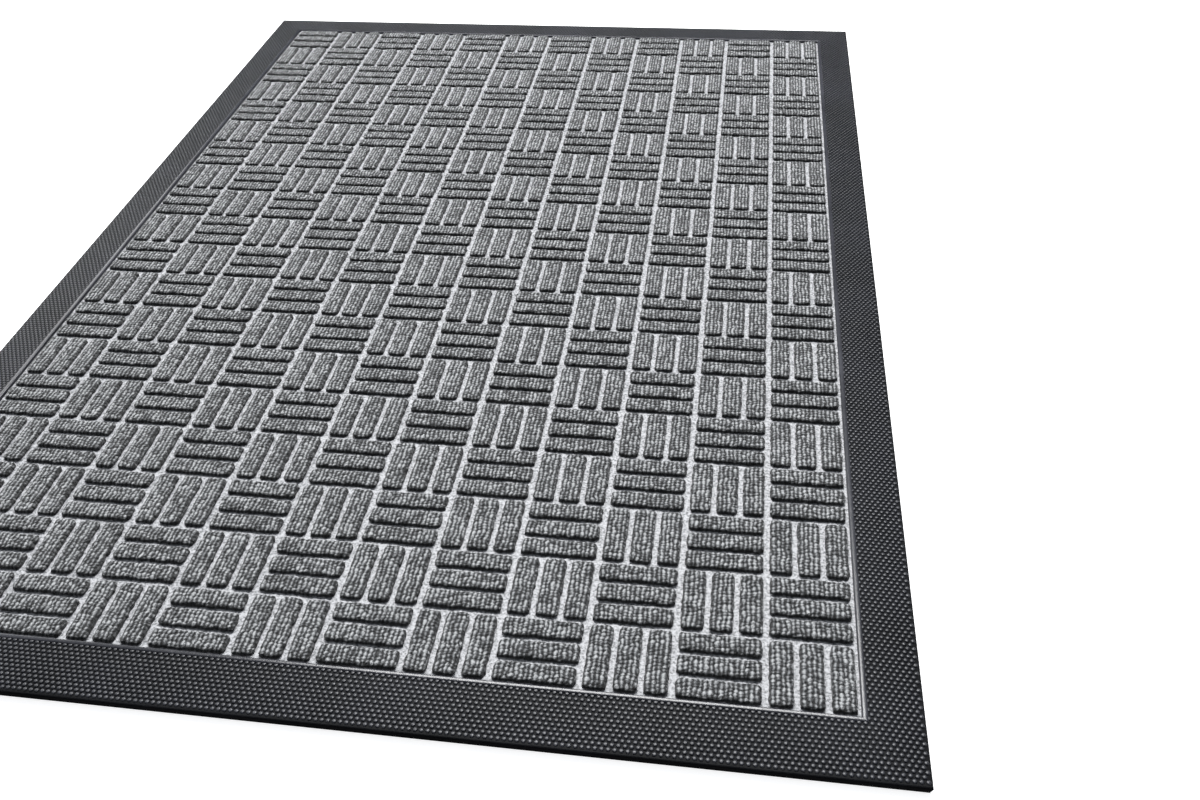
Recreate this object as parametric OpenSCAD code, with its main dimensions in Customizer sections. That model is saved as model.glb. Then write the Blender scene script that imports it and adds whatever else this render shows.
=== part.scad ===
// Entrance door mat: a ribbed carpet facing pressed in relief over a moulded rubber base.
// The origin is on the floor under the middle of the mat, +X to the right, +Y to the back, +Z up.

/* [Overall] */
// Width of the mat, left to right
mat_w = 586; // [400:1:900]
// Length of the mat, front to back
mat_l = 905; // [500:1:1500]
// Thickness of the rubber backing sheet
backing_t = 3.2; // [2:0.1:5]

/* [Border] */
// Least width of the rubber edge round the carpet, bead included
edge_min_w = 28; // [20:1:60]
// How far the outer wall stands above the backing sheet
wall_rise = 1.6; // [0.5:0.1:3]
// How far the bevel climbs from the outer wall to the bead
bevel_rise = 1.5; // [0.8:0.1:4]
// How far the wall covers the cut edge of the backing sheet
wrap_w = 3; // [2:0.5:8]
// How far the foot of the outer wall is set in
foot_inset = 1.2; // [0:0.1:2]
// Radius along the top of the outer wall
wall_r = 0.8; // [0.3:0.1:1.5]

/* [Bead] */
// Width of the bead that seals the carpet's edge
bead_w = 3; // [3:0.1:8]
// How far the bead's top stands above the bevel
bead_rise = 0.8; // [0.5:0.1:3]
// Radius along the bead's two upper edges
bead_r = 0.9; // [0.3:0.1:1.4]

/* [Carpet] */
// Size of one square of the basket pattern
tile_pitch = 44; // [30:0.5:80]
// Bars in one square
bars_per_tile = 3; // [2:1:5]
// Width of the groove between squares
tile_gap = 3.6; // [2:0.1:6]
// Width of the groove between the bars of one square
bar_gap = 3.3; // [2:0.1:6]
// Height of the bars above the groove floor, and of the cores inside them
bar_h = 3; // [1.5:0.1:5]
// Thickness of the carpet, in the grooves and over the cores
pile_t = 1.8; // [1:0.1:3]

/* [Hidden] */

// Whole squares that fit between the edges; the rubber takes what is left over
tiles_across = floor((mat_w - 2 * edge_min_w) / tile_pitch);
tiles_along = floor((mat_l - 2 * edge_min_w) / tile_pitch);
field_w = tiles_across * tile_pitch;
field_l = tiles_along * tile_pitch;
frame_w = field_w + 2 * bead_w;
frame_l = field_l + 2 * bead_w;
side_w = (mat_w - frame_w) / 2;
end_w = (mat_l - frame_l) / 2;

// One bar of the pattern, and the rubber core inside it
bar_l = tile_pitch - tile_gap;
bar_w = (bar_l - (bars_per_tile - 1) * bar_gap) / bars_per_tile;
bar_pitch = bar_w + bar_gap;
core_l = bar_l - 2 * pile_t;
core_w = bar_w - 2 * pile_t;

// Heights above the floor
wall_h = backing_t + wall_rise;
bevel_h = wall_h + bevel_rise;
bead_h = bevel_h + bead_rise;
groove_h = backing_t + pile_t;
top_h = groove_h + bar_h;

// Flats along the rounded top edge of the outer wall
arc_steps = 5;
// How far a cutting shape runs past what it cuts
overshoot = 1;

// A slab lying flat about the origin, from z up by t
module slab(w, l, t, z) {
    translate([-w / 2, -l / 2, z])
        cube([w, l, t]);
}

// The bars of one square, l by w each, side by side about its middle
module bars_of_tile(l, w) {
    for (k = [0:bars_per_tile - 1])
        translate([0, (k - (bars_per_tile - 1) / 2) * bar_pitch])
            square([l, w], center = true);
}

// Every second square, chequered: those whose bars run across (turn 0) or along the mat (turn 1)
module basket_pattern(turn, l, w) {
    for (row = [0:tiles_along - 1])
        translate([0, field_l / 2 - (row + 0.5) * tile_pitch])
            for (col = [(row + turn) % 2:2:tiles_across - 1])
                translate([(col + 0.5) * tile_pitch - field_w / 2, 0])
                    rotate(90 * turn)
                        bars_of_tile(l, w);
}

// Cross-section of a border strip w wide: x outwards from the bead, y up
module border_section(w) {
    slope = atan(bevel_rise / w);
    crown = [for (k = [0:arc_steps])
        let (a = (90 - slope) * (1 - k / arc_steps))
            [w - wall_r, wall_h - wall_r] + wall_r * [cos(a), sin(a)]];
    polygon(concat(
        [[0, backing_t], [0, bevel_h]],
        crown,
        [[w - foot_inset, 0], [w - wrap_w, 0], [w - wrap_w, backing_t]]
    ));
}

// Cross-section of the bead: a flat top with rounded edges on a straight root
module bead_section() {
    translate([0, backing_t])
        square([bead_w, bead_h - bead_r - backing_t]);
    translate([bead_r, backing_t])
        square([bead_w - 2 * bead_r, bead_h - backing_t]);
    for (x = [bead_r, bead_w - bead_r])
        translate([x, bead_h - bead_r])
            circle(bead_r, $fn = 48);
}

// A strip of a section along X, its inner edge inner_l long and reach from the mat's middle.
// Its ends are mitred: each runs out by flare on the way to the outer edge, w further out
module mitred_strip(inner_l, reach, w, flare) {
    translate([0, reach, 0])
        intersection() {
            translate([-inner_l / 2 - flare, 0, 0])
                rotate([90, 0, 90])
                    linear_extrude(inner_l + 2 * flare)
                        children();
            translate([0, 0, -overshoot])
                linear_extrude(top_h + 2 * overshoot)
                    polygon([
                        [-inner_l / 2, 0], [inner_l / 2, 0],
                        [inner_l / 2 + flare, w], [-inner_l / 2 - flare, w],
                    ]);
        }
}

module backing_sheet() {
    color("#1d1f21")
        slab(mat_w - 2 * wrap_w, mat_l - 2 * wrap_w, backing_t, 0);
}

module end_border() {
    color("#2c2f33")
        mitred_strip(frame_w, frame_l / 2, end_w, side_w)
            border_section(end_w);
}

module side_border() {
    color("#33373b")
        mitred_strip(frame_l, frame_w / 2, side_w, end_w)
            border_section(side_w);
}

module end_bead() {
    color("#5b5f66")
        mitred_strip(field_w, field_l / 2, bead_w, bead_w)
            bead_section();
}

module side_bead() {
    color("#5b5f66")
        mitred_strip(field_l, field_w / 2, bead_w, bead_w)
            bead_section();
}

// Rubber cores that stand on the backing sheet, inside the bars of one direction
module bar_cores(turn) {
    color("#141516")
        translate([0, 0, backing_t])
            linear_extrude(bar_h)
                basket_pattern(turn, core_l, core_w);
}

// One sheet of carpet pressed over the cores: thin in the grooves, standing up as the bars
module carpet_facing() {
    color("#85888b")
        difference() {
            union() {
                slab(field_w, field_l, pile_t, backing_t);
                for (turn = [0, 1])
                    translate([0, 0, backing_t])
                        linear_extrude(top_h - backing_t)
                            basket_pattern(turn, bar_l, bar_w);
            }
            for (turn = [0, 1])
                translate([0, 0, backing_t - overshoot])
                    linear_extrude(bar_h + overshoot)
                        basket_pattern(turn, core_l, core_w);
        }
}

backing_sheet();
rotate(180) end_border();  // border_front
end_border();  // border_back
rotate(90) side_border();  // border_left
rotate(-90) side_border();  // border_right
rotate(180) end_bead();  // bead_front
end_bead();  // bead_back
rotate(90) side_bead();  // bead_left
rotate(-90) side_bead();  // bead_right
carpet_facing();
bar_cores(0);  // bar_cores_across
bar_cores(1);  // bar_cores_along
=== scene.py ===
import math

import bpy
from mathutils import Matrix, Vector


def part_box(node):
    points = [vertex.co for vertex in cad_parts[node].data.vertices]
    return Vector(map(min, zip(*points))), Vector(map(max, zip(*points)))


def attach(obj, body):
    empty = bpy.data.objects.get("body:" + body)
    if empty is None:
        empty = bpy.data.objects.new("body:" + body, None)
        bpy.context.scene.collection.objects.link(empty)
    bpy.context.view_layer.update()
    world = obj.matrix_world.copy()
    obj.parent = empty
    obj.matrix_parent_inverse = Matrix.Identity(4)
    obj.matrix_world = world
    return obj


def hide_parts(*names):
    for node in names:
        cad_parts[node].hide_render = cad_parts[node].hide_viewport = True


# a mat of ribbed carpet pressed in relief over rubber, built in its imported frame
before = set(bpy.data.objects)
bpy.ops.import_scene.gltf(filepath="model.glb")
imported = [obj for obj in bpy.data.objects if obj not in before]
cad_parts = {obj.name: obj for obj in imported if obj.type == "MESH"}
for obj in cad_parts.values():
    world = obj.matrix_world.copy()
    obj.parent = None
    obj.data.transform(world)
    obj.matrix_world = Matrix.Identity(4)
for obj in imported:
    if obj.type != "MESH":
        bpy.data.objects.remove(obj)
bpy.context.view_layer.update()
mm = 0.001

# the mat's own sizes, all in metres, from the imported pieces
carpetLow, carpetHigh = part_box("carpet_facing")
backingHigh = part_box("backing_sheet")[1]
rightLow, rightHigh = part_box("border_right")
backLow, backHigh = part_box("border_back")
beadLow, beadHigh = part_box("bead_right")

# the relief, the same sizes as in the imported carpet, and how fine the pile on it is
carpet = {
    "squarePitch": 44 * mm,
    "squareGap": 3.6 * mm,
    "barGap": 3.3 * mm,
    "barsPerSquare": 3,
    "barHeight": 3 * mm,
    "ribsPerSquare": 18,
    "loopsPerSquare": 17,
}
columns = round((carpetHigh.x - carpetLow.x) / carpet["squarePitch"])
rows = round((carpetHigh.y - carpetLow.y) / carpet["squarePitch"])
ribPitch = carpet["squarePitch"] / carpet["ribsPerSquare"]
loopPitch = carpet["squarePitch"] / carpet["loopsPerSquare"]
barLength = carpet["squarePitch"] - carpet["squareGap"]
barWidth = (barLength - (carpet["barsPerSquare"] - 1) * carpet["barGap"]) / carpet["barsPerSquare"]
grooveHeight = carpetHigh.z - carpet["barHeight"]
pieces = []


def rgb(code):
    parts = [int(code[i:i + 2], 16) / 255 for i in (1, 3, 5)]
    return [c / 12.92 if c <= 0.04045 else ((c + 0.055) / 1.055) ** 2.4 for c in parts] + [1.0]


# adds a node with its settings, and its inputs by name or number: a value, or a socket to link
def add(tree, kind, inputs=None, out=0, **settings):
    node = tree.nodes.new(kind)
    for key, value in settings.items():
        setattr(node, key, value)
    for key, value in (inputs or {}).items():
        if isinstance(value, bpy.types.NodeSocket):
            tree.links.new(value, node.inputs[key])
        else:
            node.inputs[key].default_value = value
    return node.outputs[out] if len(node.outputs) else node


def maths(tree, operation, *values):
    return add(tree, "ShaderNodeMath", dict(enumerate(values)), operation=operation)


def setRamp(socket, stops):
    ramp = socket.node.color_ramp
    while len(ramp.elements) < len(stops):
        ramp.elements.new(0.5)
    for element, (place, code) in zip(ramp.elements, stops):
        element.position = place
        element.color = rgb(code)
    return socket


def meshPiece(name, verts, faces):
    mesh = bpy.data.meshes.new(name)
    mesh.from_pydata(verts, [], faces)
    mesh.validate()
    piece = bpy.data.objects.new(name, mesh)
    bpy.context.scene.collection.objects.link(piece)
    return piece


# a material with values for its shader's inputs, named with _ for each space
def newMaterial(name, **values):
    material = bpy.data.materials.new(name)
    material.use_nodes = True
    tree = material.node_tree
    shader = tree.nodes["Principled BSDF"]
    for key, value in values.items():
        shader.inputs[key.replace("_", " ")].default_value = value
    return material, tree, shader


# camera, lights and floor come first, so that the view is settled
view = {
    "place": (188.4 * mm, -813.7 * mm, 476.0 * mm),
    "aim": (73.9 * mm, -197.3 * mm, 6.5 * mm),
    "lens": 37.93,
    "roll": -2.67,
    "shift": (0.0594, 0.0035),
    "clipStart": 0.01,
}


def placeCamera():
    data = bpy.data.cameras.new("camera")
    data.lens = view["lens"]
    data.shift_x, data.shift_y = view["shift"]
    data.clip_start = view["clipStart"]
    camera = bpy.data.objects.new("camera", data)
    bpy.context.scene.collection.objects.link(camera)
    place = Vector(view["place"])
    turn = (Vector(view["aim"]) - place).to_track_quat("-Z", "Y").to_matrix().to_4x4()
    roll = Matrix.Rotation(math.radians(view["roll"]), 4, "Z")
    camera.matrix_world = Matrix.Translation(place) @ turn @ roll
    bpy.context.scene.camera = camera


studio = {
    "sky": "#e4e9f2",
    "skyLow": 0.08,             # dim walls of the room, and a bright ceiling
    "skyHigh": 0.42,
    "skyFade": (0.2, 0.75),     # heights between which the walls turn into the ceiling
    "backdrop": 0.95,
    "paper": "#f7f7f7",
    "paperRoughness": 0.9,
    "tableGlow": 0.8,           # the mat lies on a softly lit white table
    "tableHalf": 30,
    "tableDrop": 0.1 * mm,      # keeps the table clear of the mat's flat underside
    "lamps": [
        # name, place, width, depth, power: a long softbox high behind, and a wide low one at the back left
        ("key", (-0.1, 1.6, 2.7), 1.8, 0.8, 160),
        ("leftGlow", (-2.3, 1.8, 1.2), 2.0, 2.0, 46),
    ],
}


def lightStudio():
    world = bpy.data.worlds.new("studio")
    world.use_nodes = True
    tree = world.node_tree
    background = tree.nodes["Background"]
    background.inputs["Color"].default_value = rgb(studio["sky"])
    height = add(tree, "ShaderNodeSeparateXYZ", {0: add(tree, "ShaderNodeTexCoord", out="Generated")}, out=2)
    glow = add(tree, "ShaderNodeMapRange", {
        "Value": height, "From Min": studio["skyFade"][0], "From Max": studio["skyFade"][1],
        "To Min": studio["skyLow"], "To Max": studio["skyHigh"]}, interpolation_type="SMOOTHSTEP")
    # the backdrop itself looks pale, whatever light it gives
    seen = add(tree, "ShaderNodeLightPath", out="Is Camera Ray")
    glow = maths(tree, "MAXIMUM", glow, maths(tree, "MULTIPLY", seen, studio["backdrop"]))
    tree.links.new(glow, background.inputs["Strength"])
    bpy.context.scene.world = world
    for name, place, width, depth, power in studio["lamps"]:
        data = bpy.data.lights.new(name, "AREA")
        data.shape = "RECTANGLE"
        data.size, data.size_y = width, depth
        data.energy = power
        lamp = bpy.data.objects.new(name, data)
        lamp.location = place
        lamp.rotation_euler = (-Vector(place)).to_track_quat("-Z", "Y").to_euler()
        bpy.context.scene.collection.objects.link(lamp)
    bpy.context.scene.view_settings.view_transform = "Standard"
    half, drop = studio["tableHalf"], studio["tableDrop"]
    corners = [(-half, -half, -drop), (half, -half, -drop), (half, half, -drop), (-half, half, -drop)]
    floor = meshPiece("floor", corners, [(0, 1, 2, 3)])
    paper = newMaterial("studio_paper", Base_Color=rgb(studio["paper"]), Roughness=studio["paperRoughness"],
                        Emission_Color=rgb("#ffffff"), Emission_Strength=studio["tableGlow"])[0]
    floor.data.materials.append(paper)


placeCamera()
lightStudio()
print("camera and studio set")


lattice = {
    "wander": 6 * mm,
    "wanderDetail": 1.5,
    "ribStray": 1.1,        # ribs that a row may drift
    "loopStray": 2.2,       # loops that they may drift along their rib
    "startSpread": 7.0,     # loops between the starts of two ribs
}


# where a point lies in the ribs and loops of the pile; the same for the shape and the colours
def loopLattice(tree, place):
    parts = add(tree, "ShaderNodeSeparateXYZ", {0: place}).node.outputs
    wander = add(tree, "ShaderNodeTexNoise", {
        "Vector": place, "Scale": 1 / lattice["wander"], "Detail": lattice["wanderDetail"]}, out=1)
    stray = add(tree, "ShaderNodeSeparateXYZ", {0: wander}).node.outputs
    across = maths(tree, "MULTIPLY_ADD", parts[0], 1 / ribPitch,
                   maths(tree, "MULTIPLY", stray[0], lattice["ribStray"]))
    rib = maths(tree, "ROUND", across)
    start = add(tree, "ShaderNodeTexWhiteNoise", {"W": rib}, noise_dimensions="1D")
    along = maths(tree, "MULTIPLY_ADD", parts[1], 1 / loopPitch,
                  maths(tree, "MULTIPLY", start, lattice["startSpread"]))
    along = maths(tree, "ADD", along, maths(tree, "MULTIPLY", stray[1], lattice["loopStray"]))
    ribSwell = maths(tree, "ABSOLUTE", maths(tree, "COSINE", maths(tree, "MULTIPLY", across, math.pi)))
    loopSwell = maths(tree, "ABSOLUTE", maths(tree, "SINE", maths(tree, "MULTIPLY", along, math.pi)))
    cell = add(tree, "ShaderNodeCombineXYZ", {0: rib, 1: maths(tree, "FLOOR", along)})
    chance = add(tree, "ShaderNodeTexWhiteNoise", {"Vector": cell}, noise_dimensions="2D")
    return ribSwell, loopSwell, chance


yarn = {
    # from the painted shade deep in the gaps up to the palest yarn
    "stops": [(0.24, "#131415"), (0.42, "#3d3f41"), (0.62, "#797b7d"), (0.9, "#b9bbbc")],
    "fibre": 0.5 * mm,
    # how much the ribs, loops, single strands and stray fibres count in the tone; the rib and loop terms are
    # painted shade, darkest in the gaps between them
    "rib": 0.52, "loop": 0.35, "strand": 0.42, "fray": 0.75,
    "ribEdge": 1.7,
    # the way that sides with painted shade face
    "shadeFacing": (0.62, -0.78, 0.0),
    "shadeTurn": (0.25, 0.7),               # how far a side must turn the shaded way before the painted shade starts, and where it is full
    "paintedSideShade": 0.3,
    "paintedShadeRise": (1.3 * mm, 2.4 * mm),     # heights between which the painted shade on the bar's wall fades out
    "footShade": 0.2,
    "bumpStrength": 0.9, "bumpDepth": 0.6 * mm,
}


# polypropylene loop pile, solution-dyed in mixed greys, dry and matt; the near black between the ribs and
# loops is painted shade
def makePile():
    material, tree, shader = newMaterial("polypropylene_loop_pile", Roughness=0.8, Sheen_Weight=0.35,
                                         Sheen_Roughness=0.4)
    place = add(tree, "ShaderNodeTexCoord", out="Object")
    ribSwell, loopSwell, chance = loopLattice(tree, place)
    fibre = add(tree, "ShaderNodeTexNoise",
                {"Vector": place, "Scale": 1 / yarn["fibre"], "Detail": 2.0, "Roughness": 0.7})
    # painted shade: low places in the ribs and loops take the dark end of the ramp, so the gaps are painted
    # near black; strands and fibres add the yarn's own tone
    body = maths(tree, "MULTIPLY_ADD", maths(tree, "POWER", ribSwell, yarn["ribEdge"]), yarn["rib"],
                 maths(tree, "MULTIPLY", loopSwell, yarn["loop"]))
    for source, share in ((chance, yarn["strand"]), (fibre, yarn["fray"])):
        body = maths(tree, "ADD", body, maths(tree, "MULTIPLY", maths(tree, "SUBTRACT", source, 0.5), share))
    yarnToneAndGapShade = setRamp(add(tree, "ShaderNodeValToRGB", {0: body}), yarn["stops"])
    # painted shade: each bar's wall darkens towards its foot, down to footShade at the groove
    level = add(tree, "ShaderNodeSeparateXYZ", {0: place}, out=2)
    risen = add(tree, "ShaderNodeMapRange", {
        "Value": level, "From Min": grooveHeight + yarn["paintedShadeRise"][0],
        "From Max": grooveHeight + yarn["paintedShadeRise"][1], "To Min": yarn["footShade"]},
        interpolation_type="SMOOTHSTEP")
    # painted shade: a side that faces front and right, away from the key lamp, is darkened
    side = add(tree, "ShaderNodeNewGeometry", out="True Normal")
    facing = add(tree, "ShaderNodeVectorMath", {0: side, 1: yarn["shadeFacing"]}, out=1, operation="DOT_PRODUCT")
    sideShadeMask = add(tree, "ShaderNodeMapRange", {
        "Value": facing, "From Min": yarn["shadeTurn"][0], "From Max": yarn["shadeTurn"][1],
        "To Min": 1.0, "To Max": yarn["paintedSideShade"]},
        interpolation_type="SMOOTHSTEP")
    shade = add(tree, "ShaderNodeVectorMath", {0: yarnToneAndGapShade, "Scale": maths(tree, "MULTIPLY", risen, sideShadeMask)},
                operation="SCALE")
    tree.links.new(shade, shader.inputs["Base Color"])
    bump = add(tree, "ShaderNodeBump", {
        "Height": body, "Strength": yarn["bumpStrength"], "Distance": yarn["bumpDepth"]})
    tree.links.new(bump, shader.inputs["Normal"])
    return material


groove = {
    "pale": "#bebfc2",
    "dull": "#54565a",
    "speck": 1.5 * mm,
    "blend": (0.34, 0.6),
    "roughness": 0.36, "roughnessSpread": 0.35,
    "bumpStrength": 0.5, "bumpDepth": 0.3 * mm,
}


# the same polypropylene where the hot mould has fused it flat: pale, and glossy at low angles
def makeFusedCarpet():
    material, tree, shader = newMaterial("polypropylene_fused_flat")
    place = add(tree, "ShaderNodeTexCoord", out="Object")
    speck = add(tree, "ShaderNodeTexNoise",
                {"Vector": place, "Scale": 1 / groove["speck"], "Detail": 3.0, "Roughness": 0.65})
    shade = setRamp(add(tree, "ShaderNodeValToRGB", {0: speck}),
                    list(zip(groove["blend"], (groove["dull"], groove["pale"]))))
    tree.links.new(shade, shader.inputs["Base Color"])
    rough = maths(tree, "MULTIPLY_ADD", speck, groove["roughnessSpread"], groove["roughness"])
    tree.links.new(rough, shader.inputs["Roughness"])
    bump = add(tree, "ShaderNodeBump", {
        "Height": speck, "Strength": groove["bumpStrength"], "Distance": groove["bumpDepth"]})
    tree.links.new(bump, shader.inputs["Normal"])
    return material


rubber = {
    "bloom": 55 * mm,
    "blend": (0.35, 0.7),
    "roughnessSpread": 0.2,
    "bumpStrength": 0.35, "bumpDepth": 0.12 * mm,
}


# moulded rubber: near black, a soft sheen at low angles, with a little grey bloom
def makeRubber(name, dark, bloomed, roughness, grain, shine=0.5):
    material, tree, shader = newMaterial(name, IOR=1.52, Specular_IOR_Level=shine)
    place = add(tree, "ShaderNodeTexCoord", out="Object")
    bloom = add(tree, "ShaderNodeTexNoise",
                {"Vector": place, "Scale": 1 / rubber["bloom"], "Detail": 4.0, "Roughness": 0.6})
    shade = setRamp(add(tree, "ShaderNodeValToRGB", {0: bloom}), list(zip(rubber["blend"], (dark, bloomed))))
    tree.links.new(shade, shader.inputs["Base Color"])
    fine = add(tree, "ShaderNodeTexNoise",
               {"Vector": place, "Scale": 1 / grain, "Detail": 3.0, "Roughness": 0.6})
    spread = rubber["roughnessSpread"]
    rough = maths(tree, "ADD", maths(tree, "MULTIPLY", fine, spread), roughness - spread / 2)
    tree.links.new(rough, shader.inputs["Roughness"])
    bump = add(tree, "ShaderNodeBump", {
        "Height": fine, "Strength": rubber["bumpStrength"], "Distance": rubber["bumpDepth"]})
    tree.links.new(bump, shader.inputs["Normal"])
    return material


pile = makePile()
fusedCarpet = makeFusedCarpet()
# painted shade: the bevel between the dots is dull, and painted darker than the plain rubber underneath
edgeRubber = makeRubber("moulded_edge_rubber", "#0d0e10", "#151619", 0.52, 0.9 * mm, shine=0.07)
# painted shade: the outer wall is a darker, duller copy of the edge rubber, nearly black as if lost in its
# own shadow
shadedWallRubber = makeRubber("moulded_rubber_painted_wall_shade", "#060607", "#0b0b0d", 0.9, 0.9 * mm, shine=0.01)
# the dots are glossy and catch the light as small bright points; their rubber is also painted a lighter grey
# than the bevel, as a painted highlight
dotRubber = makeRubber("moulded_dot_rubber", "#1f2126", "#2d2f36", 0.38, 0.9 * mm, shine=0.32)
# the bead is smooth, and its gloss draws a fine bright line round the carpet; its rubber is also painted a
# lighter grey than the rest, as painted light
beadRubber = makeRubber("smooth_bead_rubber", "#2b2c31", "#3f4046", 0.24, 1.6 * mm, shine=0.28)
# plain rubber as it leaves the mould, for what lies underneath
backRubber = makeRubber("moulded_backing_rubber", "#161719", "#222427", 0.6, 0.7 * mm)
print("materials made")


# an empty tree with named inputs, and the sockets that give their values
def makeTree(name, inputs):
    tree = bpy.data.node_groups.new(name, "GeometryNodeTree")
    tree.interface.new_socket("Geometry", in_out="INPUT", socket_type="NodeSocketGeometry")
    for label, kind in inputs.items():
        tree.interface.new_socket(label, in_out="INPUT", socket_type="NodeSocket" + kind)
    tree.interface.new_socket("Geometry", in_out="OUTPUT", socket_type="NodeSocketGeometry")
    return tree, tree.nodes.new("NodeGroupInput").outputs


# faces of a grid nx by ny, facing up, and the corners round its rim in order
def gridFaces(nx, ny):
    faces = [(i * ny + j, (i + 1) * ny + j, (i + 1) * ny + j + 1, i * ny + j + 1)
             for i in range(nx - 1) for j in range(ny - 1)]
    rim = ([i * ny for i in range(nx)] + [(nx - 1) * ny + j for j in range(1, ny)]
           + [i * ny + ny - 1 for i in range(nx - 2, -1, -1)] + [j for j in range(ny - 2, 0, -1)])
    return faces, rim


# runs a tree on a piece and leaves a plain mesh
def bakeTree(piece, tree, values):
    modifier = piece.modifiers.new("build", "NODES")
    modifier.node_group = tree
    for item in tree.interface.items_tree:
        if item.in_out == "INPUT" and item.name in values:
            modifier[item.identifier] = values[item.name]
    graph = bpy.context.evaluated_depsgraph_get()
    made = bpy.data.meshes.new_from_object(piece.evaluated_get(graph), depsgraph=graph)
    piece.modifiers.clear()
    old = piece.data
    piece.data = made
    made.name = piece.name
    bpy.data.meshes.remove(old)
    return piece


# a flat map from above, for a piece that lies flat
def mapFromAbove(piece):
    mesh = piece.data
    layer = mesh.uv_layers.new(name="OFBake")
    lowX = min(v.co.x for v in mesh.vertices)
    lowY = min(v.co.y for v in mesh.vertices)
    spanX = max(v.co.x for v in mesh.vertices) - lowX
    spanY = max(v.co.y for v in mesh.vertices) - lowY
    places = []
    for loop in mesh.loops:
        co = mesh.vertices[loop.vertex_index].co
        places += [(co.x - lowX) / spanX, (co.y - lowY) / spanY]
    layer.data.foreach_set("uv", places)


def finishPiece(piece, slotName, *nodes):
    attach(piece, "root")
    if nodes:
        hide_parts(*nodes)
    pieces.append(piece)
    return piece


# pile bars: one bar is drawn here, the tree lays out the basket pattern and presses in the loops
bar = {
    "insets": [-0.1 * mm, 0, 0.6 * mm],      # of the three rings up the wall
    "heights": [-0.3 * mm, 1.7 * mm, 2.6 * mm],
    "topInset": 1.25 * mm,
    "ribStep": 3,                            # stops per rib
    "loopStep": 3,                           # stops per loop
    "corner": 2.1 * mm,
    "ribDepth": 0.75 * mm,
    "ribRound": 0.7,
    "loopDepth": 0.6 * mm,
    "uneven": 0.3 * mm,
    "wobble": 1.3 * mm,
    "wobbleSize": 3 * mm,
    "rowsPerPiece": 5,
}


def axisStops(size, step):
    half = size / 2
    count = math.floor((half - bar["topInset"]) / step)
    edge = [half - inset for inset in bar["insets"]]
    return [-e for e in edge] + [k * step for k in range(-count, count + 1)] + edge[::-1]


def drawBar(name, sizeX, sizeY):
    xs = axisStops(sizeX, ribPitch / bar["ribStep"])
    ys = axisStops(sizeY, loopPitch / bar["loopStep"])
    verts = []
    for i, stopX in enumerate(xs):
        for j, stopY in enumerate(ys):
            x, y = stopX, stopY
            ring = min(i, j, len(xs) - 1 - i, len(ys) - 1 - j)
            # the square rings turn round near each corner
            pastX = abs(x) - (sizeX / 2 - bar["corner"])
            pastY = abs(y) - (sizeY / 2 - bar["corner"])
            if pastX > 0 and pastY > 0:
                pull = 1 - max(pastX, pastY) / math.hypot(pastX, pastY)
                x -= math.copysign(pastX * pull, x)
                y -= math.copysign(pastY * pull, y)
            z = bar["heights"][ring] if ring < len(bar["heights"]) else carpet["barHeight"]
            verts.append((x, y, grooveHeight + z))
    faces, rim = gridFaces(len(xs), len(ys))
    return meshPiece(name, verts, faces + [tuple(rim[::-1])])


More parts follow.
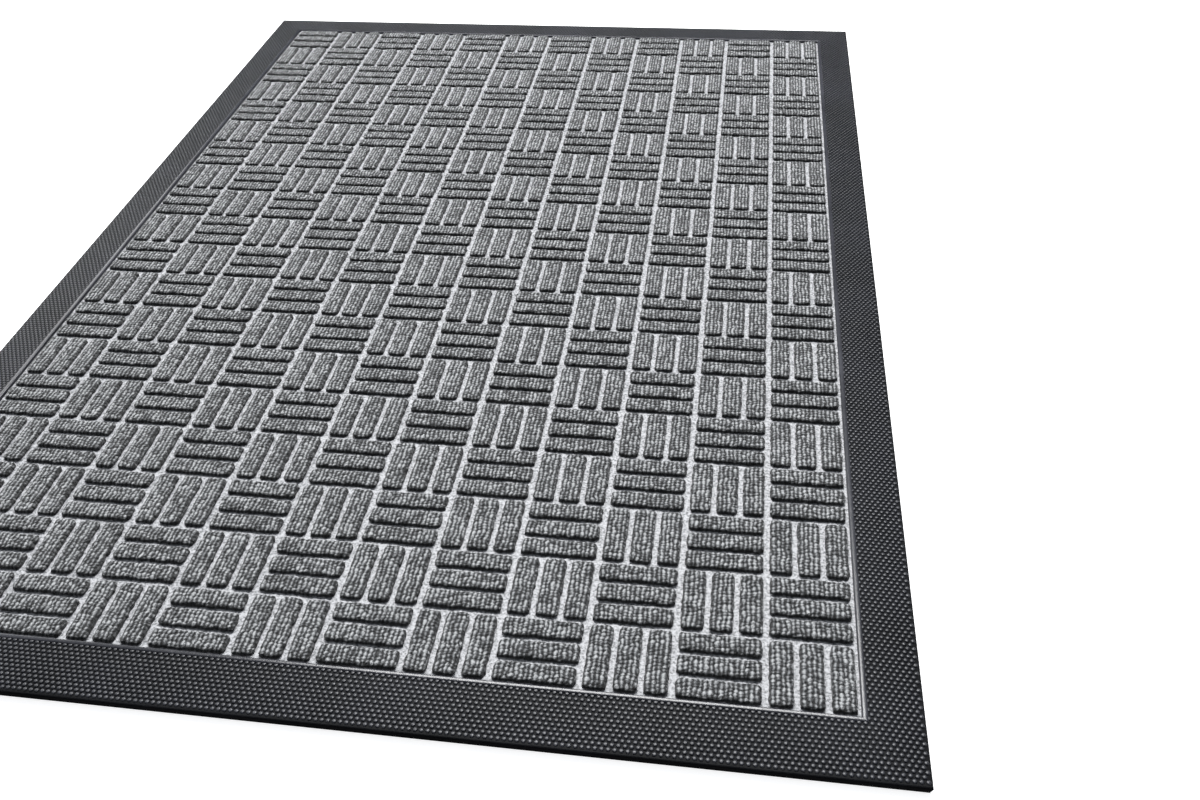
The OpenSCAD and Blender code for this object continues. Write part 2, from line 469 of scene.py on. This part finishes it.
def pileTree():
    tree, given = makeTree("basket_of_bars", {
        "Square Pitch": "Float", "Columns": "Int", "Rows": "Int", "Middle": "Vector",
        "Chequer": "Float", "Bars": "Int", "First Bar": "Vector", "Bar Step": "Vector",
        "Bar Height": "Float", "Groove Height": "Float", "Rib Depth": "Float",
        "Loop Depth": "Float", "Uneven": "Float", "Wobble": "Float", "Material": "Material",
    })
    given = {socket.name: socket for socket in given}
    line = add(tree, "GeometryNodeMeshLine", {
        "Count": given["Bars"], "Start Location": given["First Bar"], "Offset": given["Bar Step"]})
    square = add(tree, "GeometryNodeInstanceOnPoints", {"Points": line, "Instance": given["Geometry"]})
    spanX = maths(tree, "MULTIPLY", maths(tree, "SUBTRACT", given["Columns"], 1), given["Square Pitch"])
    spanY = maths(tree, "MULTIPLY", maths(tree, "SUBTRACT", given["Rows"], 1), given["Square Pitch"])
    grid = add(tree, "GeometryNodeMeshGrid", {
        "Size X": spanX, "Size Y": spanY, "Vertices X": given["Columns"], "Vertices Y": given["Rows"]})
    grid = add(tree, "GeometryNodeSetPosition", {"Geometry": grid, "Offset": given["Middle"]})
    # every second square: the cosine is 1 on one colour of the chequer and -1 on the other
    spot = add(tree, "ShaderNodeSeparateXYZ", {0: add(tree, "GeometryNodeInputPosition")}).node.outputs
    steps = maths(tree, "DIVIDE", maths(tree, "SUBTRACT", spot[0], spot[1]), given["Square Pitch"])
    steps = maths(tree, "ADD", steps, given["Chequer"])
    own = maths(tree, "GREATER_THAN", maths(tree, "COSINE", maths(tree, "MULTIPLY", steps, math.pi)), 0.0)
    laid = add(tree, "GeometryNodeInstanceOnPoints", {"Points": grid, "Selection": own, "Instance": square})
    solid = add(tree, "GeometryNodeRealizeInstances", {0: laid})
    # loops press down from the bar's flat top, and less on its walls
    place = add(tree, "GeometryNodeInputPosition")
    level = add(tree, "ShaderNodeSeparateXYZ", {0: place}, out=2)
    risen = maths(tree, "DIVIDE", maths(tree, "SUBTRACT", level, given["Groove Height"]), given["Bar Height"])
    onTop = add(tree, "ShaderNodeMapRange", {"Value": risen, "From Min": 0.5, "From Max": 1.0},
                interpolation_type="SMOOTHSTEP")
    ribSwell, loopSwell, chance = loopLattice(tree, place)
    ribSwell = maths(tree, "POWER", ribSwell, bar["ribRound"])
    low = maths(tree, "MULTIPLY", maths(tree, "SUBTRACT", ribSwell, 1.0), given["Rib Depth"])
    between = maths(tree, "MULTIPLY", maths(tree, "SUBTRACT", loopSwell, 1.0), given["Loop Depth"])
    low = maths(tree, "ADD", low, between)
    low = maths(tree, "SUBTRACT", low, maths(tree, "MULTIPLY", chance, given["Uneven"]))
    drop = add(tree, "ShaderNodeCombineXYZ", {2: maths(tree, "MULTIPLY", low, onTop)})
    solid = add(tree, "GeometryNodeSetPosition", {"Geometry": solid, "Offset": drop})
    # the edges of a pressed bar are never straight
    place = add(tree, "GeometryNodeInputPosition")
    drift = add(tree, "ShaderNodeTexNoise", {
        "Vector": place, "Scale": 1 / bar["wobbleSize"], "Detail": 2.0}, out=1)
    drift = add(tree, "ShaderNodeVectorMath", {0: drift, 1: (0.5, 0.5, 0.5)}, operation="SUBTRACT")
    drift = add(tree, "ShaderNodeVectorMath", {0: drift, 1: (2.0, 2.0, 0.0)}, operation="MULTIPLY")
    drift = add(tree, "ShaderNodeVectorMath", {0: drift, "Scale": given["Wobble"]}, operation="SCALE")
    solid = add(tree, "GeometryNodeSetPosition", {"Geometry": solid, "Offset": drift})
    solid = add(tree, "GeometryNodeSetShadeSmooth", {0: solid})
    solid = add(tree, "GeometryNodeSetMaterial", {"Geometry": solid, "Material": given["Material"]})
    add(tree, "NodeGroupOutput", {0: solid})
    return tree


def layPile():
    tree = pileTree()
    pitch = barWidth + carpet["barGap"]
    fieldBack = rows * carpet["squarePitch"] / 2
    laid = []
    for turn, word in enumerate(("across", "along")):
        size = (barLength, barWidth) if turn == 0 else (barWidth, barLength)
        step = Vector((0, pitch, 0)) if turn == 0 else Vector((pitch, 0, 0))
        for band, first in enumerate(range(0, rows, bar["rowsPerPiece"])):
            count = min(bar["rowsPerPiece"], rows - first)
            middle = fieldBack - (first + count / 2) * carpet["squarePitch"]
            piece = drawBar(f"pile_bars_{word}_{band + 1}", *size)
            bakeTree(piece, tree, {
                "Square Pitch": carpet["squarePitch"], "Columns": columns, "Rows": count,
                "Middle": (0.0, middle, 0.0), "Chequer": (columns + rows) / 2 - 1 + turn,
                "Bars": carpet["barsPerSquare"], "Bar Step": step,
                "First Bar": -step * (carpet["barsPerSquare"] - 1) / 2,
                "Bar Height": carpet["barHeight"], "Groove Height": grooveHeight,
                "Rib Depth": bar["ribDepth"], "Loop Depth": bar["loopDepth"],
                "Uneven": bar["uneven"], "Wobble": bar["wobble"], "Material": pile,
            })
            mapFromAbove(piece)
            laid.append(finishPiece(piece, "ribbed_carpet"))
    return laid


bars = layPile()
print("pile bars laid:", len(bars))


# the carpet's fused ground, seen in the grooves
ground = {
    "stopsX": 2,           # per rib
    "stopY": 5.5 * mm,
    "ribDepth": 0.16 * mm,
    "sag": 0.12 * mm,
    "waves": (7 * mm, 9 * mm, 23 * mm),      # lengths of the sag across, along and aslant
    "sharpFrom": 40,
}


def layGround():
    across, along, aslant = ground["waves"]
    nx = columns * carpet["ribsPerSquare"] * ground["stopsX"] + 1
    ny = round((carpetHigh.y - carpetLow.y) / ground["stopY"]) + 1
    verts = []
    for i in range(nx):
        x = carpetLow.x + (carpetHigh.x - carpetLow.x) * i / (nx - 1)
        for j in range(ny):
            y = carpetLow.y + (carpetHigh.y - carpetLow.y) * j / (ny - 1)
            rib = ground["ribDepth"] * (i % 2)
            sag = ground["sag"] * math.sin(x / across) * math.sin(y / along + x / aslant)
            verts.append((x, y, grooveHeight - rib + sag))
    faces, rim = gridFaces(nx, ny)
    # walls down to the backing sheet and a flat underside close the sheet
    foot = len(verts)
    verts += [(verts[k][0], verts[k][1], backingHigh.z) for k in rim]
    count = len(rim)
    faces += [(rim[k], foot + k, foot + (k + 1) % count, rim[(k + 1) % count]) for k in range(count)]
    faces.append(tuple(foot + k for k in reversed(range(count))))
    piece = meshPiece("carpet_ground", verts, faces)
    piece.data.shade_smooth()
    piece.data.set_sharp_from_angle(angle=math.radians(ground["sharpFrom"]))
    piece.data.materials.append(fusedCarpet)
    mapFromAbove(piece)
    return finishPiece(piece, "ribbed_carpet", "carpet_facing")


carpetGround = layGround()
print("ground laid")


# rubber strips round the carpet: a section of (share outwards, height) between mitred ends
edge = {
    "wallHeight": 4.8 * mm,
    "wallRound": 0.8 * mm,
    "footInset": 1.2 * mm,
    "beadRound": 0.9 * mm,
    "arcSteps": 5,
    "sharpFrom": 35,
    "wallFacing": 0.6,     # a face that looks up less than this is part of the wall and gets the painted wall shade
}
sides = {"front": (0, -1), "back": (0, 1), "left": (-1, 0), "right": (1, 0)}


def drawStrip(name, side, section, inner, outer):
    sx, sy = side
    verts = []
    for share, z in section:
        x = inner[0] + (outer[0] - inner[0]) * share
        y = inner[1] + (outer[1] - inner[1]) * share
        for end in (-1, 1):
            verts.append((sx * x, end * y * sx, z) if sx else (-end * x * sy, sy * y, z))
    n = len(section)
    faces = [(2 * k, 2 * ((k + 1) % n), 2 * ((k + 1) % n) + 1, 2 * k + 1) for k in range(n)]
    faces += [tuple(2 * k for k in reversed(range(n))), tuple(2 * k + 1 for k in range(n))]
    piece = meshPiece(name, verts, faces)
    piece.data.shade_smooth()
    piece.data.set_sharp_from_angle(angle=math.radians(edge["sharpFrom"]))
    return piece


def borderSection(width):
    top, wall, r = rightHigh.z, edge["wallHeight"], edge["wallRound"]
    slope = math.atan((top - wall) / width)
    section = [(0, backingHigh.z), (0, top)]
    for k in range(edge["arcSteps"] + 1):
        a = (math.pi / 2 - slope) * (1 - k / edge["arcSteps"])
        section.append(((width - r + r * math.cos(a)) / width, wall - r + r * math.sin(a)))
    wrap = (width - (rightHigh.x - backingHigh.x)) / width
    return section + [((width - edge["footInset"]) / width, 0), (wrap, 0), (wrap, backingHigh.z)]


def beadSection(width):
    section = [(0, backingHigh.z)]
    top, r, steps = beadHigh.z, edge["beadRound"], edge["arcSteps"]
    for k in range(2 * steps + 2):
        # first half: the inner rounding; second half: the outer one
        a = math.pi * (1 - (k if k <= steps else k - 1) / (2 * steps))
        middle = r if k <= steps else width - r
        section.append(((middle + r * math.cos(a)) / width, top - r + r * math.sin(a)))
    return section + [(1, backingHigh.z)]


frameHalf = (rightLow.x, backLow.y)
matHalf = (rightHigh.x, backHigh.y)
fieldHalf = (beadLow.x, carpetHigh.y)
for word, side in sides.items():
    width = rightHigh.x - rightLow.x if side[0] else backHigh.y - backLow.y
    strip = drawStrip(f"rubber_edge_{word}", side, borderSection(width), frameHalf, matHalf)
    strip.data.materials.append(edgeRubber)
    strip.data.materials.append(shadedWallRubber)
    # the wall faces take the darker copy of the rubber, as painted shade
    for face in strip.data.polygons:
        face.material_index = 1 if face.normal.z < edge["wallFacing"] else 0
    finishPiece(strip, "edge_rubber", f"border_{word}")
    bead = drawStrip(f"sealing_bead_{word}", side, beadSection(beadHigh.x - beadLow.x), fieldHalf, frameHalf)
    bead.data.materials.append(beadRubber)
    finishPiece(bead, "bead_rubber", f"bead_{word}")
print("edges and beads drawn")

# raised dots moulded on the bevel
dots = {
    "pitch": 3.0 * mm,
    "rowPitch": 2.6 * mm,
    "radius": 1.27 * mm,
    "stretch": 1.14,
    "height": 0.5 * mm,
    "corners": 6,
    "rings": [(1.0, -0.25), (0.84, 0.7), (0.52, 0.96)],     # shares of the radius and the height
    "inner": -0.02,                                         # shares of the way out over the bevel
    "outer": 0.955,
}


def drawDot(name):
    n, rings = dots["corners"], dots["rings"]
    turns = [2 * math.pi * k / n for k in range(n)]
    verts = [(r * dots["radius"] * math.cos(a), r * dots["radius"] * dots["stretch"] * math.sin(a),
              h * dots["height"]) for r, h in rings for a in turns]
    verts.append((0, 0, dots["height"]))
    top = n * (len(rings) - 1)
    faces = [(low + k, low + (k + 1) % n, low + n + (k + 1) % n, low + n + k)
             for low in range(0, top, n) for k in range(n)]
    faces += [(top + k, top + (k + 1) % n, top + n) for k in range(n)]
    faces.append(tuple(reversed(range(n))))
    return meshPiece(name, verts, faces)


def dotTree():
    tree, given = makeTree("dots_on_bevel", {
        "Pitch": "Float", "Row Pitch": "Float", "Size": "Vector", "Side": "Vector", "Cross": "Vector",
        "Inner": "Float", "Width": "Float", "Cross Inner": "Float", "Cross Width": "Float",
        "First": "Float", "Last": "Float", "High": "Float", "Low": "Float", "Material": "Material",
    })
    given = {socket.name: socket for socket in given}
    size = add(tree, "ShaderNodeSeparateXYZ", {0: given["Size"]}).node.outputs
    countX = maths(tree, "ADD", maths(tree, "FLOOR", maths(tree, "DIVIDE", size[0], given["Pitch"])), 1)
    countY = maths(tree, "ADD", maths(tree, "FLOOR", maths(tree, "DIVIDE", size[1], given["Row Pitch"])), 1)
    grid = add(tree, "GeometryNodeMeshGrid", {
        "Size X": maths(tree, "MULTIPLY", maths(tree, "SUBTRACT", countX, 1), given["Pitch"]),
        "Size Y": maths(tree, "MULTIPLY", maths(tree, "SUBTRACT", countY, 1), given["Row Pitch"]),
        "Vertices X": countX, "Vertices Y": countY})
    # every second row is shifted by half a pitch
    spot = add(tree, "ShaderNodeSeparateXYZ", {0: add(tree, "GeometryNodeInputPosition")}).node.outputs
    row = maths(tree, "ROUND", maths(tree, "DIVIDE", spot[1], given["Row Pitch"]))
    odd = maths(tree, "PINGPONG", row, 1.0)
    shift = maths(tree, "MULTIPLY", maths(tree, "MULTIPLY", odd, 0.5), given["Pitch"])
    grid = add(tree, "GeometryNodeSetPosition", {
        "Geometry": grid, "Offset": add(tree, "ShaderNodeCombineXYZ", {0: shift})})
    # share of the way out over this side's bevel, and over the two beside it
    place = add(tree, "GeometryNodeInputPosition")
    outwards = add(tree, "ShaderNodeVectorMath", {0: place, 1: given["Side"]}, out=1, operation="DOT_PRODUCT")
    sideways = maths(tree, "ABSOLUTE", add(tree, "ShaderNodeVectorMath", {0: place, 1: given["Cross"]}, out=1,
                                           operation="DOT_PRODUCT"))
    share = maths(tree, "DIVIDE", maths(tree, "SUBTRACT", outwards, given["Inner"]), given["Width"])
    beside = maths(tree, "SUBTRACT", sideways, given["Cross Inner"])
    beside = maths(tree, "DIVIDE", beside, given["Cross Width"])
    inside = maths(tree, "MULTIPLY", maths(tree, "GREATER_THAN", share, given["First"]),
                   maths(tree, "LESS_THAN", share, given["Last"]))
    inside = maths(tree, "MULTIPLY", inside, maths(tree, "GREATER_THAN", share, beside))
    height = add(tree, "ShaderNodeMapRange", {
        "Value": share, "To Min": given["High"], "To Max": given["Low"]})
    grid = add(tree, "GeometryNodeSetPosition", {
        "Geometry": grid, "Offset": add(tree, "ShaderNodeCombineXYZ", {2: height})})
    laid = add(tree, "GeometryNodeInstanceOnPoints", {
        "Points": grid, "Selection": inside, "Instance": given["Geometry"]})
    solid = add(tree, "GeometryNodeRealizeInstances", {0: laid})
    solid = add(tree, "GeometryNodeSetShadeSmooth", {0: solid})
    solid = add(tree, "GeometryNodeSetMaterial", {"Geometry": solid, "Material": given["Material"]})
    add(tree, "NodeGroupOutput", {0: solid})
    return tree


def mouldDots():
    tree = dotTree()
    widths = (matHalf[0] - frameHalf[0], matHalf[1] - frameHalf[1])
    for word, (sx, sy) in sides.items():
        own = 0 if sx else 1
        piece = drawDot(f"edge_dots_{word}")
        bakeTree(piece, tree, {
            "Pitch": dots["pitch"], "Row Pitch": dots["rowPitch"],
            "Size": (2 * matHalf[0], 2 * matHalf[1], 0.0), "Side": (float(sx), float(sy), 0.0),
            "Cross": (float(sy), float(sx), 0.0), "Inner": frameHalf[own], "Width": widths[own],
            "Cross Inner": frameHalf[1 - own], "Cross Width": widths[1 - own],
            "First": dots["inner"], "Last": dots["outer"],
            "High": rightHigh.z, "Low": edge["wallHeight"], "Material": dotRubber,
        })
        mapFromAbove(piece)
        finishPiece(piece, "edge_rubber")


mouldDots()
print("dots moulded")

# CAD pieces that stay: the backing sheet and the cores inside the bars
for node in ("backing_sheet", "bar_cores_across", "bar_cores_along"):
    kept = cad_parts[node]
    kept.data.materials.clear()
    kept.data.materials.append(backRubber)

print("faces:", sum(len(piece.data.polygons) for piece in pieces), "over", len(pieces), "pieces")
